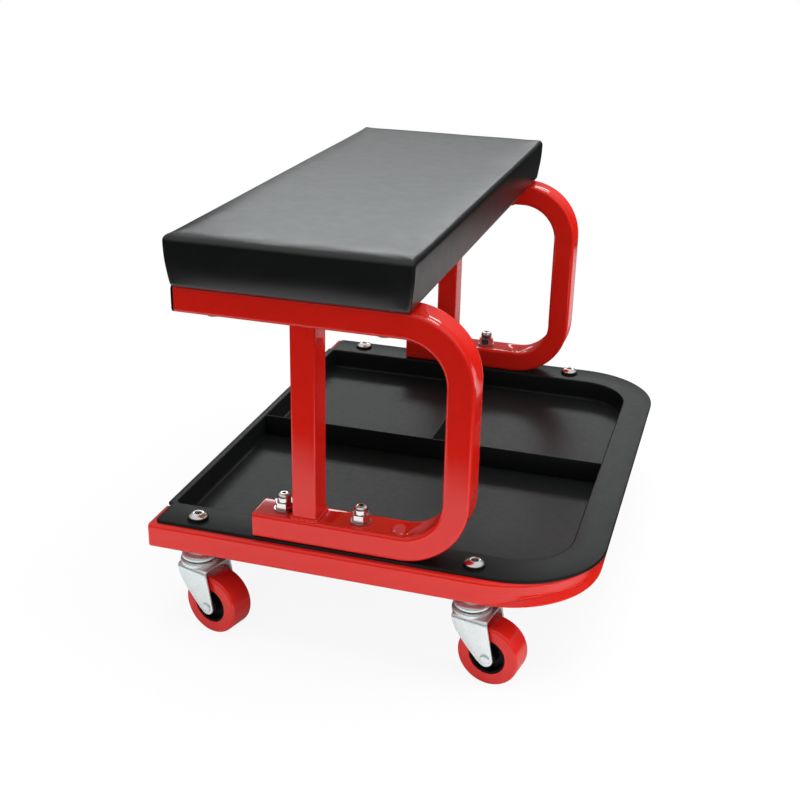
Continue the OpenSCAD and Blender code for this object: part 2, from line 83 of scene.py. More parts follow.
def mesh_object(name, verts, faces):
    data = bpy.data.meshes.new(name)
    data.from_pydata([tuple(v) for v in verts], [], faces)
    data.update()
    bm = bmesh.new()
    bm.from_mesh(data)
    bmesh.ops.recalc_face_normals(bm, faces=bm.faces)
    bm.to_mesh(data)
    bm.free()
    return smooth_object(name, data)


def close_seams(obj):
    """Joins the points where a skin meets itself."""
    bm = bmesh.new()
    bm.from_mesh(obj.data)
    bmesh.ops.remove_doubles(bm, verts=bm.verts, dist=1e-6)
    bmesh.ops.dissolve_degenerate(bm, edges=bm.edges, dist=1e-7)
    bmesh.ops.recalc_face_normals(bm, faces=bm.faces)
    bm.to_mesh(obj.data)
    bm.free()
    obj.data.set_sharp_from_angle(angle=math.radians(SHARP))


def place(obj, body, material, nodes=()):
    """Gives a piece its material, body and slot, and the CAD nodes it stands for."""
    obj.data.materials.clear()
    obj.data.materials.append(material)
    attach(obj, body)
    if nodes:
        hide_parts(*nodes)
    return obj


def quarter(steps):
    """Angles from 0 to 90 degrees, in radians."""
    return [math.radians(90 * k / steps) for k in range(steps + 1)]


def rounded_section(w, h, r, corner=6, side=8):
    """Closed loop of (u, v) points round a rectangle with rounded corners."""
    corners = [(w / 2 - r, h / 2 - r, 0), (-w / 2 + r, h / 2 - r, 90),
               (-w / 2 + r, -h / 2 + r, 180), (w / 2 - r, -h / 2 + r, 270)]
    arcs = []
    for cu, cv, start in corners:
        turns = [math.radians(start + 90 * k / corner) for k in range(corner + 1)]
        arcs.append([(cu + r * math.cos(a), cv + r * math.sin(a)) for a in turns])
    loop = []
    for i, arc in enumerate(arcs):
        loop += arc
        a, b = arc[-1], arcs[(i + 1) % 4][0]
        steps = [k / side for k in range(1, side)]
        loop += [(a[0] + (b[0] - a[0]) * t, a[1] + (b[1] - a[1]) * t) for t in steps]
    return loop


def bridge_rings(rings, close_ends=True):
    """Vertices and faces of a skin over a list of equal rings."""
    n = len(rings[0])
    verts = [p for ring in rings for p in ring]
    faces = []
    for i in range(len(rings) - 1):
        for k in range(n):
            m = (k + 1) % n
            faces.append((i * n + k, i * n + m, (i + 1) * n + m, (i + 1) * n + k))
    if close_ends:
        faces.append(tuple(range(n))[::-1])
        faces.append(tuple((len(rings) - 1) * n + k for k in range(n)))
    return verts, faces


def lathe(name, profile, matrix, segments=96):
    """Turns a closed profile of (radius, height) points, in mm, about the matrix's Z axis."""
    profile = [(r * MM, z * MM) for r, z in profile]
    verts, faces = [], []
    n = len(profile)
    for s in range(segments):
        a = 2 * math.pi * s / segments
        verts += [matrix @ Vector((r * math.cos(a), r * math.sin(a), z)) for r, z in profile]
    for s in range(segments):
        t = (s + 1) % segments
        for k in range(n):
            m = (k + 1) % n
            faces.append((s * n + k, t * n + k, t * n + m, s * n + m))
    obj = mesh_object(name, verts, faces)
    close_seams(obj)
    return obj


def mirrored(half):
    """Whole profile from the half above height 0."""
    return half + [(r, -z) for r, z in half[::-1][1:]]


def round_corners(points, radii, steps=5):
    """Rounds the corners of a closed polygon, one radius for each corner."""
    out = []
    n = len(points)
    for i, (p, r) in enumerate(zip(points, radii)):
        p = Vector(p)
        a, b = Vector(points[i - 1]) - p, Vector(points[(i + 1) % n]) - p
        if r <= 0:
            out.append(tuple(p))
            continue
        a.normalize()
        b.normalize()
        half = math.acos(max(-1, min(1, a.dot(b)))) / 2
        reach = r / math.tan(half)
        mid = p + (a + b).normalized() * (r / math.sin(half))
        start, end = p + a * reach, p + b * reach
        a0 = math.atan2(start.y - mid.y, start.x - mid.x)
        a1 = math.atan2(end.y - mid.y, end.x - mid.x)
        turn = (a1 - a0 + math.pi) % (2 * math.pi) - math.pi
        for k in range(steps + 1):
            t = a0 + turn * k / steps
            out.append((mid.x + r * math.cos(t), mid.y + r * math.sin(t)))
    return out


def bevelled_box(name, low, high, r, segments=3):
    bm = bmesh.new()
    bmesh.ops.create_cube(bm, size=1)
    mid, span = (Vector(low) + Vector(high)) / 2, Vector(high) - Vector(low)
    for v in bm.verts:
        v.co = mid + Vector((v.co.x * span.x, v.co.y * span.y, v.co.z * span.z))
    bmesh.ops.bevel(bm, geom=list(bm.edges), offset=r, segments=segments, profile=0.5, affect="EDGES")
    data = bpy.data.meshes.new(name)
    bm.to_mesh(data)
    bm.free()
    return smooth_object(name, data, sharp=50)


def smooth_step(x, a, b):
    t = min(1.0, max(0.0, (x - a) / (b - a)))
    return t * t * (3 - 2 * t)


# ---------------------------------------------------------------- materials
def node(tree, kind, **inputs):
    n = tree.nodes.new(kind)
    for key, value in inputs.items():
        if key in n.inputs:
            n.inputs[key].default_value = value
        else:
            setattr(n, key, value)
    return n


def ramp(tree, source, stops):
    r = tree.nodes.new("ShaderNodeValToRGB")
    r.color_ramp.elements[0].position = stops[0][0]
    r.color_ramp.elements[0].color = (*stops[0][1], 1)
    r.color_ramp.elements[1].position = stops[-1][0]
    r.color_ramp.elements[1].color = (*stops[-1][1], 1)
    for position, colour in stops[1:-1]:
        e = r.color_ramp.elements.new(position)
        e.color = (*colour, 1)
    tree.links.new(source, r.inputs[0])
    return r.outputs[0]


def grey(value):
    return (value, value, value)


def make_material(name, colour, colour_low, rough, metallic=0.0, mottle=9.0, grain=900.0, grain_height=0.02,
                  grain_kind="noise", wave=None, coat=0.0, coat_rough=0.06, edge=None, edge_size=0.6,
                  specular=0.5, paint_recess_shade=False):
    """Principled surface with mottled colour, varied roughness, a fine grain bump and a colour along the edges.

    mottle and grain are noise scales, grain_height and edge_size are in mm. edge is the colour mixed in along
    edges, wear and, on the red enamel, a painted highlight; the recess flag paints shade into hollows.
    """
    mat = bpy.data.materials.new(name)
    mat.use_nodes = True
    tree = mat.node_tree
    tree.nodes.clear()
    link = tree.links.new
    out = node(tree, "ShaderNodeOutputMaterial")
    bsdf = node(tree, "ShaderNodeBsdfPrincipled")
    link(bsdf.outputs[0], out.inputs[0])
    bsdf.inputs["Metallic"].default_value = metallic
    bsdf.inputs["Specular IOR Level"].default_value = specular
    bsdf.inputs["Coat Weight"].default_value = coat
    bsdf.inputs["Coat Roughness"].default_value = coat_rough
    coords = node(tree, "ShaderNodeTexCoord").outputs["Object"]
    broad = node(tree, "ShaderNodeTexNoise", Scale=mottle, Detail=5.0, Roughness=0.6)
    link(coords, broad.inputs["Vector"])
    tint = ramp(tree, broad.outputs[0], [(0.32, colour_low), (0.62, colour)])
    fine = node(tree, "ShaderNodeTexNoise", Scale=mottle * 14, Detail=3.0, Roughness=0.55)
    link(coords, fine.inputs["Vector"])
    rough_map = node(tree, "ShaderNodeMapRange")
    rough_map.inputs["From Min"].default_value = 0.3
    rough_map.inputs["From Max"].default_value = 0.7
    rough_map.inputs["To Min"].default_value = rough[0]
    rough_map.inputs["To Max"].default_value = rough[1]
    link(fine.outputs[0], rough_map.inputs["Value"])
    link(rough_map.outputs[0], bsdf.inputs["Roughness"])
    # Colour along the edges: wear, and on the red enamel a painted highlight line.
    if edge is not None:
        geometry = node(tree, "ShaderNodeNewGeometry")
        bevel = node(tree, "ShaderNodeBevel", samples=4, Radius=edge_size * MM)
        dot = node(tree, "ShaderNodeVectorMath", operation="DOT_PRODUCT")
        link(geometry.outputs["Normal"], dot.inputs[0])
        link(bevel.outputs[0], dot.inputs[1])
        edge_wear_and_highlight = node(tree, "ShaderNodeMapRange")
        edge_wear_and_highlight.inputs["From Min"].default_value = 0.995
        edge_wear_and_highlight.inputs["From Max"].default_value = 0.90
        link(dot.outputs["Value"], edge_wear_and_highlight.inputs["Value"])
        patch = node(tree, "ShaderNodeMath", operation="MULTIPLY")
        link(edge_wear_and_highlight.outputs[0], patch.inputs[0])
        link(broad.outputs[0], patch.inputs[1])
        mix = node(tree, "ShaderNodeMix", data_type="RGBA")
        link(patch.outputs[0], mix.inputs["Factor"])
        under, over = [socket for socket in mix.inputs if socket.type == "RGBA"]
        link(tint, under)
        over.default_value = (*edge, 1)
        tint = next(s for s in mix.outputs if s.type == "RGBA")
    # Painted shade: ambient occlusion darkens the colour in hollows such as the bolt sockets.
    if paint_recess_shade:
        hollow = node(tree, "ShaderNodeAmbientOcclusion", samples=6, Distance=3 * MM)
        open_share = ramp(tree, hollow.outputs["AO"], [(0.35, grey(0.0)), (0.80, grey(1.0))])
        shade = node(tree, "ShaderNodeVectorMath", operation="MULTIPLY")
        link(tint, shade.inputs[0])
        link(open_share, shade.inputs[1])
        tint = shade.outputs[0]
    link(tint, bsdf.inputs["Base Color"])
    if grain_kind == "cells":
        cells = node(tree, "ShaderNodeTexVoronoi", Scale=grain, feature="SMOOTH_F1")
        warp = node(tree, "ShaderNodeTexNoise", Scale=grain * 0.35, Detail=2.0)
        add = node(tree, "ShaderNodeVectorMath", operation="MULTIPLY_ADD")
        link(coords, warp.inputs["Vector"])
        link(warp.outputs["Color"], add.inputs[0])
        add.inputs[1].default_value = (0.002, 0.002, 0.002)
        link(coords, add.inputs[2])
        link(add.outputs[0], cells.inputs["Vector"])
        height = cells.outputs["Distance"]
    elif grain_kind == "brushed":
        stretch = node(tree, "ShaderNodeMapping")
        stretch.inputs["Scale"].default_value = wave or (1, 1, 0.06)
        link(coords, stretch.inputs["Vector"])
        brushed = node(tree, "ShaderNodeTexNoise", Scale=grain, Detail=2.0, Roughness=0.5)
        link(stretch.outputs[0], brushed.inputs["Vector"])
        height = brushed.outputs[0]
    else:
        peel = node(tree, "ShaderNodeTexNoise", Scale=grain, Detail=2.0, Roughness=0.5)
        link(coords, peel.inputs["Vector"])
        height = peel.outputs[0]
    bump = node(tree, "ShaderNodeBump", Strength=1.0, Distance=grain_height * MM)
    link(height, bump.inputs["Height"])
    link(bump.outputs[0], bsdf.inputs["Normal"])
    return mat


# The red enamel's edge colour is a painted highlight, a thin pinkish line along the rounded tube edges.
RED = make_material(
    "red_enamel", (0.60, 0.013, 0.007), (0.57, 0.011, 0.006), (0.14, 0.18), mottle=7, grain=240,
    grain_height=0.002, coat=1.0, coat_rough=0.035, specular=0.0, edge=(0.76, 0.06, 0.04), edge_size=0.45)
POWDER = make_material(
    "black_powder_coat", (0.0075, 0.0085, 0.0085), (0.006, 0.007, 0.007), (0.36, 0.42), mottle=14,
    grain=1500, grain_height=0.006, edge=(0.03, 0.034, 0.034), edge_size=0.4, specular=0.16)
PLASTIC = make_material(
    "black_plastic", (0.003, 0.003, 0.0032), (0.0024, 0.0024, 0.0024), (0.40, 0.52), mottle=40,
    grain=1800, grain_height=0.015, edge=(0.012, 0.012, 0.013), specular=0.12)
RUBBER = make_material(
    "black_rubber", (0.006, 0.006, 0.006), (0.004, 0.004, 0.004), (0.55, 0.70), mottle=60,
    grain=1600, grain_height=0.03, edge=(0.02, 0.02, 0.02), specular=0.2)
ZINC = make_material(
    "zinc_plate", (0.76, 0.83, 0.835), (0.73, 0.80, 0.805), (0.26, 0.34), metallic=0.82, mottle=30,
    grain=240, grain_height=0.0004)
# Painted shade darkens the sockets and other hollows of the bolt steel.
BOLT = make_material(
    "bolt_steel", (0.84, 0.82, 0.81), (0.76, 0.74, 0.73), (0.16, 0.22), metallic=1.0, mottle=80,
    grain=1200, grain_height=0.003, paint_recess_shade=True)
STEEL = make_material(
    "ground_steel", (0.52, 0.53, 0.54), (0.42, 0.43, 0.44), (0.22, 0.34), metallic=1.0, mottle=90,
    grain=1400, grain_height=0.004, grain_kind="brushed", edge=(0.8, 0.8, 0.8))
PLYWOOD = make_material(
    "plywood", (0.50, 0.33, 0.17), (0.36, 0.22, 0.10), (0.55, 0.75), mottle=18, grain=260,
    grain_height=0.15, grain_kind="brushed", wave=(1, 0.05, 1), edge=(0.60, 0.44, 0.26))
TYRE = make_material(
    "red_polyurethane", (0.58, 0.015, 0.010), (0.54, 0.012, 0.008), (0.30, 0.40), mottle=30,
    grain=900, grain_height=0.004, coat=0.9, coat_rough=0.14, specular=0.0,
    edge=(0.72, 0.07, 0.05), edge_size=0.6)
VINYL = make_material(
    "black_vinyl", (0.0048, 0.0054, 0.0056), (0.0044, 0.005, 0.0052), (0.30, 0.34), mottle=6,
    grain=620, grain_height=0.003, grain_kind="cells", edge=(0.014, 0.016, 0.017), edge_size=0.8,
    specular=0.6)

FINISHES = {"red_paint": RED, "black_powder_coat": POWDER, "black_plastic": PLASTIC, "black_rubber": RUBBER,
            "zinc": ZINC, "bearing_steel": STEEL, "plywood": PLYWOOD, "foam": RUBBER, "black_vinyl": VINYL,
            "red_tyre": TYRE}
# CAD nodes that show as bright bolt steel instead of the finish of their slot
BRIGHT = ("hoop_bolts", "hoop_washers", "hoop_lock_nuts", "caster_bolts", "seat_tee_nuts")


def finish_cad():
    """Gives every CAD node its finish."""
    slots = {part["node"]: part["material_slot"] for part in frame["record"]["subparts"]}
    for name, cad in frame["nodes"].items():
        cad.data.materials.clear()
        cad.data.materials.append(BOLT if name in BRIGHT else FINISHES[slots[name]])


finish_cad()


# ---------------------------------------------------------------- bent tubes
def tube_skin(stations, h, dent, side=8):
    """Skin of a tube over stations of (outer point, inner point, sideways, distance).

    dent moves the points (u, v) of the section at a distance along the tube.
    """
    rings = []
    for outer, inner, sideways, s in stations:
        mid, outward = (outer + inner) / 2, (outer - inner).normalized()
        w = (outer - inner).length
        ring = []
        for u, v in rounded_section(w, h, TUBE_R, side=side):
            u, v = dent(u, v, s, w / 2)
            ring.append(mid + outward * u + sideways * v)
        rings.append(ring)
    return bridge_rings(rings)


def path_point(pieces, t):
    """Point at the share t of a path of ("line", a, b) and ("arc", centre, radius, start, end, plane)."""
    lengths = []
    for piece in pieces:
        lengths.append((piece[2] - piece[1]).length if piece[0] == "line"
                       else piece[2] * math.radians(abs(piece[4] - piece[3])))
    left = t * sum(lengths)
    for piece, length in zip(pieces, lengths):
        if left > length and piece is not pieces[-1]:
            left -= length
            continue
        k = min(1.0, left / length)
        if piece[0] == "line":
            return piece[1].lerp(piece[2], k)
        a = math.radians(piece[3] + (piece[4] - piece[3]) * k)
        return piece[1] + piece[5](math.cos(a), math.sin(a)) * piece[2]


def two_sided_path(legs, sideways, step_line, step_bend):
    """Stations between an outer and an inner path, and the distance at which each bend starts and ends."""
    out, s, marks = [], 0.0, []
    for kind, outer, inner in legs:
        ends = [(path_point(outer, t) + path_point(inner, t)) / 2 for t in (0, 0.5, 1)]
        length = (ends[1] - ends[0]).length + (ends[2] - ends[1]).length
        n = max(2, int(length / (step_line if kind == "line" else step_bend)))
        for k in range(0 if kind == "line" else 1, n + 1 if kind == "line" else n):
            out.append((path_point(outer, k / n), path_point(inner, k / n), sideways, s + length * k / n))
        if kind == "bend":
            marks.append((s, s + length))
        s += length
    return out, marks


def bend_amount(s, a, b, lead):
    """1 inside the bend from a to b, falling to 0 over the lead on either side."""
    return smooth_step(s, a - lead, a + lead) * (1 - smooth_step(s, b - lead, b + lead))


def hoop_piece(name, cad_name):
    """C-shaped hoop: the walls sink in the bends, and pinch where the bends meet the bars."""
    low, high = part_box(cad_name)
    y = (low.y + high.y) / 2
    h, r = TUBE_H, 55 * MM
    plug_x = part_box("hoop_end_plugs")[0].x + PLUG_T
    foot_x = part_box("hoop_foot_caps")[0].x + PLATE_T
    x_in = high.x - r

    def plane(c, s):
        return Vector((c, 0, s))

    def line(x0, z0, x1, z1):
        return [("line", Vector((x0, y, z0)), Vector((x1, y, z1)))]

    def arc(z, radius, start, end):
        return [("arc", Vector((x_in, y, z)), radius, start, end, plane)]

    top, bottom = high.z - r, low.z + r
    legs = [
        ("line", line(plug_x, high.z, x_in, high.z), line(plug_x, high.z - h, x_in, high.z - h)),
        ("bend", arc(top, r, 90, 0), arc(top, r - h, 90, 0)),
        ("line", line(high.x, top, high.x, bottom), line(high.x - h, top, high.x - h, bottom)),
        ("bend", arc(bottom, r, 0, -90), arc(bottom, r - h, 0, -90)),
        ("line", line(x_in, low.z, foot_x, low.z), line(x_in, low.z + h, foot_x, low.z + h)),
    ]
    stations, marks = two_sided_path(legs, Vector((0, -1, 0)), 2.2 * MM, 1.6 * MM)
    (t0, t1), (b0, b1) = marks
    half, lead = TUBE_W / 2, 9 * MM

    def pinch(s, place_s, reach_v):
        return math.exp(-((s - place_s) / (7 * MM)) ** 2) * reach_v

    def dent(u, v, s, wall):
        across = max(0.0, 1 - (v / (half - 1.5 * MM)) ** 2)
        outer = smooth_step(u, wall * 0.55, wall * 0.98)
        inner = smooth_step(-u, wall * 0.55, wall * 0.98)
        top_bend = bend_amount(s, t0 + 2 * MM, t1, lead)
        low_bend = bend_amount(s, b0, b1 - 2 * MM, lead)
        sink_out = 2.6 * MM * top_bend + 2.2 * MM * low_bend
        sink_in = 2.0 * MM * top_bend + 2.8 * MM * low_bend
        sink_out += 1.1 * MM * pinch(s, t0 + 3 * MM, smooth_step(half * 0.75 - abs(v), 0, 5 * MM))
        sink_in += 3.4 * MM * pinch(s, b1 - 1 * MM, smooth_step(half * 0.72 - abs(v), 0, 4 * MM))
        return u - outer * sink_out * across + inner * sink_in * across, v

    verts, faces = tube_skin(stations, TUBE_W, dent)
    return place(mesh_object(name, verts, faces), "frame", RED, [cad_name])


def base_piece():
    """U-shaped base: wide rails, a narrower end, and an outer wall that folds along a crease in its bends."""
    out_r, in_r = 80 * MM, 47 * MM
    x0, x1, half_w = base_lo.x, base_hi.x, base_hi.y
    z = (base_lo.z + base_hi.z) / 2
    out_x, out_y = x1 - out_r, half_w - out_r
    in_x, in_y, in_rail = x1 - END_W - in_r, half_w - RAIL_W - in_r, half_w - RAIL_W

    def line(ax, ay, bx, by):
        return ("line", Vector((ax, ay, z)), Vector((bx, by, z)))

    def arc(x, y, radius, start, end):
        return ("arc", Vector((x, y, z)), radius, start, end, lambda c, s: Vector((c, s, 0)))

    legs = [
        ("line", [line(x0, -half_w, out_x, -half_w)], [line(x0, -in_rail, out_x, -in_rail)]),
        ("bend", [arc(out_x, -out_y, out_r, -90, 0), line(x1, -out_y, x1, -in_y)],
         [line(out_x, -in_rail, in_x, -in_rail), arc(in_x, -in_y, in_r, -90, 0)]),
        ("line", [line(x1, -in_y, x1, in_y)], [line(x1 - END_W, -in_y, x1 - END_W, in_y)]),
        ("bend", [line(x1, in_y, x1, out_y), arc(out_x, out_y, out_r, 0, 90)],
         [arc(in_x, in_y, in_r, 0, 90), line(in_x, in_rail, out_x, in_rail)]),
        ("line", [line(out_x, half_w, x0, half_w)], [line(out_x, in_rail, x0, in_rail)]),
    ]
    stations, marks = two_sided_path(legs, Vector((0, 0, 1)), 4 * MM, 1.6 * MM)
    half, middle = TUBE_H / 2, sum(marks[0] + marks[1]) / 4
    crease_z = 0.4 * MM

    def dent(u, v, s, wall):
        across = max(0.0, 1 - (v / (half - 1.0 * MM)) ** 2)
        outer = smooth_step(u, wall * 0.6, wall * 0.98)
        inner = smooth_step(-u, wall * 0.6, wall * 0.98)
        for a, b in marks:
            t = (s - a) / (b - a)
            amount = smooth_step(t, -0.04, 0.22) * (1 - smooth_step(t, 0.78, 1.04))
            valley = np.interp(t if a < middle else 1 - t, [0.08, 0.30, 0.52, 0.70, 0.85],
                               [-8.5, -2.8, -1.8, -4.5, -3.0]) * MM
            fold = np.interp(v, [-half, -half + 1.4 * MM, valley, crease_z, half - 1.2 * MM, half],
                             [0.0, 0.2 * MM, 3.8 * MM, 2.0 * MM, 0.1 * MM, 0.0])
            ridge = 0.4 * MM * math.exp(-((v - crease_z) / (0.7 * MM)) ** 2)
            ripple = (2.2 + 1.1 * math.cos(t * math.pi * 10)) * MM
            u -= outer * amount * (fold - ridge)
            u += inner * amount * across * ripple
        return u, v

    verts, faces = tube_skin(stations, TUBE_H, dent, side=20)
    return place(mesh_object("base_tube", verts, faces), "frame", RED, ["base_frame"])


def end_plate(x0, x1, y, z, w, h, out_radius):
    """Plate across the end of a tube along X, its outward edge rounded over."""
    rings = []
    depth = x1 - x0
    profile = [(0.0, 0.0)]
    for a in quarter(5):
        profile.append((out_radius * (1 - math.cos(a)), depth - out_radius + out_radius * math.sin(a)))
    for inset, rise in profile:
        loop = rounded_section(w - 2 * inset, h - 2 * inset, max(TUBE_R - inset, 0.6 * MM))
        rings.append([Vector((x1 - rise, y + u, z + v)) for u, v in loop])
    return bridge_rings(rings)


def join_skins(skins):
    verts, faces = [], []
    for v, f in skins:
        base = len(verts)
        verts += v
        faces += [tuple(i + base for i in face) for face in f]
    return verts, faces


def end_pieces(name, cad_name, material, w, edge, thickness):
    """The pair of plates or plugs that close two tube ends, as one piece."""
    low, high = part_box(cad_name)
    z = (low.z + high.z) / 2
    skins = []
    for y in (low.y + w / 2, high.y - w / 2):
        skins.append(end_plate(low.x, low.x + thickness, y, z, w, TUBE_H, edge))
    verts, faces = join_skins(skins)
    return place(mesh_object(name, verts, faces), "frame", material, [cad_name])


base_piece()
hoop_piece("front_hoop_tube", "front_hoop")
hoop_piece("back_hoop_tube", "back_hoop")
end_pieces("base_end_plates", "base_end_caps", RED, RAIL_W, 1.1 * MM, PLATE_T)
end_pieces("hoop_foot_plates", "hoop_foot_caps", RED, TUBE_W, 1.1 * MM, PLATE_T)
end_pieces("hoop_plugs", "hoop_end_plugs", PLASTIC, TUBE_W, 1.2 * MM, PLUG_T)


POST_R = 2.2 * MM


def post_piece(name, cad_name):
    low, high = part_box(cad_name)
    mid = (low + high) / 2
    loop = rounded_section(high.x - low.x, high.y - low.y, POST_R, side=4)
    rings = []
    for k in range(13):
        z = low.z + (high.z - low.z) * k / 12
        rings.append([Vector((mid.x + u, mid.y + v, z)) for u, v in loop])
    verts, faces = bridge_rings(rings)
    return place(mesh_object(name, verts, faces), "frame", RED, [cad_name])


def weld_bead(name, cad_name):
    """Wavy fillet weld round the foot of a post."""
    low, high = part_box(cad_name)
    mid, z = (low + high) / 2, low.z
    path = rounded_section(high.x - low.x, high.y - low.y, POST_R, corner=8, side=26)
    n = len(path)
    rings = []
    rng = np.random.default_rng(len(name) + int(z * 1e4))
    phase = rng.uniform(0, 6.28)
    for i, (u, v) in enumerate(path):
        before, after = path[i - 1], path[(i + 1) % n]
        t = Vector((after[0] - before[0], after[1] - before[1], 0)).normalized()
        out, foot = Vector((t.y, -t.x, 0)), Vector((mid.x + u, mid.y + v, z))
        leg = (2.3 + 0.35 * math.sin(i * 1.15 + phase) + rng.uniform(-0.12, 0.12)) * MM
        ring = []
        for a in quarter(6):
            reach = leg * (0.86 + 0.14 * math.sin(2 * a))
            ring.append(foot + out * (reach * math.cos(a)) + Vector((0, 0, reach * math.sin(a))))
        ring.append(foot - out * 0.4 * MM - Vector((0, 0, 0.3 * MM)))
        rings.append(ring)
    rings.append(rings[0])
    verts, faces = bridge_rings(rings, close_ends=False)
    obj = mesh_object(name, verts, faces)
    close_seams(obj)
    return place(obj, "frame", RED)


for side in ("front", "back"):
    post_piece(side + "_post_tube", side + "_post")
    weld_bead(side + "_post_foot_weld", side + "_post")


# ---------------------------------------------------------------- tool tray
def d_loop(x0, x1, half, left_r, right_r, steps=20):
    """Closed outline with two small corners at x0 and two large ones at x1."""
    corners = [(x1 - right_r, -half + right_r, -90, right_r), (x1 - right_r, half - right_r, 0, right_r),
               (x0 + left_r, half - left_r, 90, left_r), (x0 + left_r, -half + left_r, 180, left_r)]
    loop = []
    for cx, cy, start, r in corners:
        for k in range(steps + 1):
            a = math.radians(start + 90 * k / steps)
            loop.append((cx + r * math.cos(a), cy + r * math.sin(a)))
    return loop


def inset_loop(loop, d):
    """Moves a closed outline inwards by d along its corner normals."""
    out = []
    n = len(loop)
    for i in range(n):
        p, a, b = Vector(loop[i]), Vector(loop[i - 1]), Vector(loop[(i + 1) % n])
        e0, e1 = (p - a).normalized(), (b - p).normalized()
        n0, n1 = Vector((-e0.y, e0.x)), Vector((-e1.y, e1.x))
        m = (n0 + n1).normalized()
        out.append(tuple(p + m * (d / max(0.5, m.dot(n0)))))
    return out


def bin_loop(low, high, corner, bend, grow):
    """Outline of the tray's well, made larger all round by grow."""
    x0, x1, y1 = low.x - grow, high.x + grow, high.y + grow
    return d_loop(x0, x1, y1, corner + grow, bend + grow)


def tray_outline(low, high):
    """Edge of the flange, with the tab that sticks out between the ends of the rails."""
    flange_x = base_lo.x + 3.3 * MM
    tab_y = 195.5 * MM
    outline = d_loop(flange_x, high.x, high.y, 4 * MM, 75.5 * MM)
    tail_start = 3 * len(outline) // 4
    tab = round_corners([(flange_x, tab_y), (low.x, tab_y), (low.x, -tab_y), (flange_x, -tab_y)],
                        [0.8 * MM, 1.5 * MM, 1.5 * MM, 0.8 * MM], 4)
    return outline[:tail_start] + tab + outline[tail_start:]


def tray_piece():
    """Pressed tray: a flange with a rounded edge, a rolled lip and a well with filleted walls."""
    low, high = tray_lo, tray_hi
    wall, flange_t, depth = 1.5 * MM, 2.5 * MM, 20 * MM
    edge_r, lip, fillet, corner, bend = 0.9 * MM, 1.6 * MM, 3 * MM, 4 * MM, 45 * MM
    well_lo, well_hi = [Vector(v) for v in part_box("tray_long_divider")]
    well_hi.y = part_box("tray_short_divider")[1].y
    outline, top = tray_outline(low, high), high.z
    bm = bmesh.new()

    def add_loop(points, z):
        return [bm.verts.new((x, y, z)) for x, y in points]

    def skin(loops):
        for a, b in zip(loops, loops[1:]):
            n = len(a)
            for k in range(n):
                bm.faces.new((a[k], a[(k + 1) % n], b[(k + 1) % n], b[k]))

    def fill_between(*rings):
        edges = []
        for ring in rings:
            for pair in zip(ring, ring[1:] + ring[:1]):
                edges.append(bm.edges.get(pair) or bm.edges.new(pair))
        bmesh.ops.triangle_fill(bm, use_beauty=True, use_dissolve=False, edges=edges)

    outer = []
    for a in quarter(4):
        loop = inset_loop(outline, edge_r * (1 - math.sin(a)))
        outer.append(add_loop(loop, top - edge_r * (1 - math.cos(a))))
    outer.append(add_loop(outline, top - flange_t))
    skin(outer)

    inner = []
    for a in quarter(5):
        loop = bin_loop(well_lo, well_hi, corner, bend, lip * (1 - math.sin(a)))
        inner.append(add_loop(loop, top - lip * (1 - math.cos(a))))
    for a in quarter(5):
        shrink = fillet * (1 - math.cos(a))
        loop = d_loop(well_lo.x + shrink, well_hi.x - shrink, well_hi.y - shrink, corner - shrink * 0.9,
                      bend - shrink)
        inner.append(add_loop(loop, top - depth + fillet * (1 - math.sin(a))))
    skin(inner)
    bm.faces.new(inner[-1])
    fill_between(outer[0], inner[0])

    under = [add_loop(bin_loop(well_lo, well_hi, corner, bend, wall), top - flange_t)]
    for a in quarter(5):
        loop = bin_loop(well_lo, well_hi, corner, bend, wall - fillet * (1 - math.cos(a)))
        under.append(add_loop(loop, low.z + fillet * (1 - math.sin(a))))
    skin(under)
    bm.faces.new(under[-1])
    fill_between(outer[-1], under[0])
    bmesh.ops.recalc_face_normals(bm, faces=bm.faces)
    data = bpy.data.meshes.new("tray_pressing")
    bm.to_mesh(data)
    bm.free()
    obj = smooth_object("tray_pressing", data, sharp=30)
    return place(obj, "frame", POWDER, ["tool_tray"])


tray_piece()
for divider in ("tray_long_divider", "tray_short_divider"):
    low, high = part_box(divider)
    obj = bevelled_box(divider.replace("tray_", "") + "_plate", low, high, 0.6 * MM)
    place(obj, "frame", POWDER, [divider])


# ---------------------------------------------------------------- casters
def caster_frame(corner):
    """Matrix of a caster's own frame, +X from swivel to axle, then the trail and the axle's height."""
    swivel = Vector(joint(corner + "_swivel_turn")["pos_m"])
    axle = Vector(joint(corner + "_wheel_roll")["pos_m"])
    along = Vector((axle.x - swivel.x, axle.y - swivel.y, 0))
    turn = Matrix.Rotation(math.atan2(along.y, along.x), 4, "Z")
    return Matrix.Translation((swivel.x, swivel.y, 0)) @ turn, along.length, axle.z


